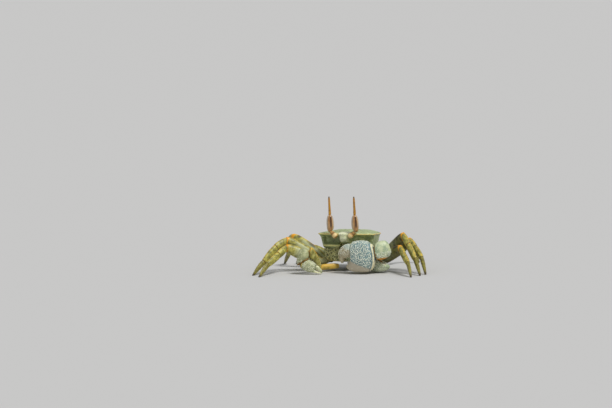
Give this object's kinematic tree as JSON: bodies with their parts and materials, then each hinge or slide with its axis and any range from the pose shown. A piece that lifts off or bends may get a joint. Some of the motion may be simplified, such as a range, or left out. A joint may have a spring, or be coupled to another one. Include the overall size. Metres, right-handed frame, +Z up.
{
  "type": "ghost crab",
  "caption": "Life-size still model of a horned ghost crab standing on its walking legs, claws folded before the mouth, one much larger.",
  "frame": {"origin": "middle of the footprint on the floor the feet stand on", "axes": "+Z up; +X runs the long way across the leg span, towards the crab's own left; -Y is the side the front of the crab faces, turned 22 degrees towards -X"},
  "size_m": [0.173, 0.1568, 0.076],
  "materials": {
    "back_shell": "chitin shell of the back, satin",
    "trunk_shell": "dark olive shell of the underside and flanks, satin",
    "mouth_plates": "shell of the mouth plates, satin",
    "claw_shell": "grained blue-green claw shell, satin",
    "claw_finger": "pale claw finger shell, satin",
    "leg_shell": "olive-yellow leg shell, satin",
    "leg_dactyl": "brown horny leg tip, satin",
    "eye_stalk": "orange-tan eyestalk, satin",
    "cornea": "copper-brown eye surface, glossy",
    "eye_horn": "amber horn on top of the eye, satin"
  },
  "bodies": {
    "root": {"abdomen": "trunk_shell", "carapace": "back_shell", "claw_left_carpus": "claw_shell", "claw_left_finger": "claw_finger", "claw_left_ischium": "claw_shell", "claw_left_merus": "claw_shell", "claw_left_palm": "claw_shell", "claw_right_carpus": "claw_shell", "claw_right_finger": "claw_finger", "claw_right_ischium": "claw_shell", "claw_right_merus": "claw_shell", "claw_right_palm": "claw_shell", "cornea_left": "cornea", "cornea_right": "cornea", "eyestalk_left": "eye_stalk", "eyestalk_right": "eye_stalk", "horn_left": "eye_horn", "horn_right": "eye_horn", "leg2_left_carpus": "leg_shell", "leg2_left_dactyl": "leg_dactyl", "leg2_left_merus": "leg_shell", "leg2_left_propodus": "leg_shell", "leg2_right_carpus": "leg_shell", "leg2_right_dactyl": "leg_dactyl", "leg2_right_merus": "leg_shell", "leg2_right_propodus": "leg_shell", "leg3_left_carpus": "leg_shell", "leg3_left_dactyl": "leg_dactyl", "leg3_left_merus": "leg_shell", "leg3_left_propodus": "leg_shell", "leg3_right_carpus": "leg_shell", "leg3_right_dactyl": "leg_dactyl", "leg3_right_merus": "leg_shell", "leg3_right_propodus": "leg_shell", "leg4_left_carpus": "leg_shell", "leg4_left_dactyl": "leg_dactyl", "leg4_left_merus": "leg_shell", "leg4_left_propodus": "leg_shell", "leg4_right_carpus": "leg_shell", "leg4_right_dactyl": "leg_dactyl", "leg4_right_merus": "leg_shell", "leg4_right_propodus": "leg_shell", "leg5_left_carpus": "leg_shell", "leg5_left_dactyl": "leg_dactyl", "leg5_left_merus": "leg_shell", "leg5_left_propodus": "leg_shell", "leg5_right_carpus": "leg_shell", "leg5_right_dactyl": "leg_dactyl", "leg5_right_merus": "leg_shell", "leg5_right_propodus": "leg_shell", "maxilliped_left": "mouth_plates", "maxilliped_right": "mouth_plates", "trunk": "trunk_shell"}
  },
  "joints": []
}
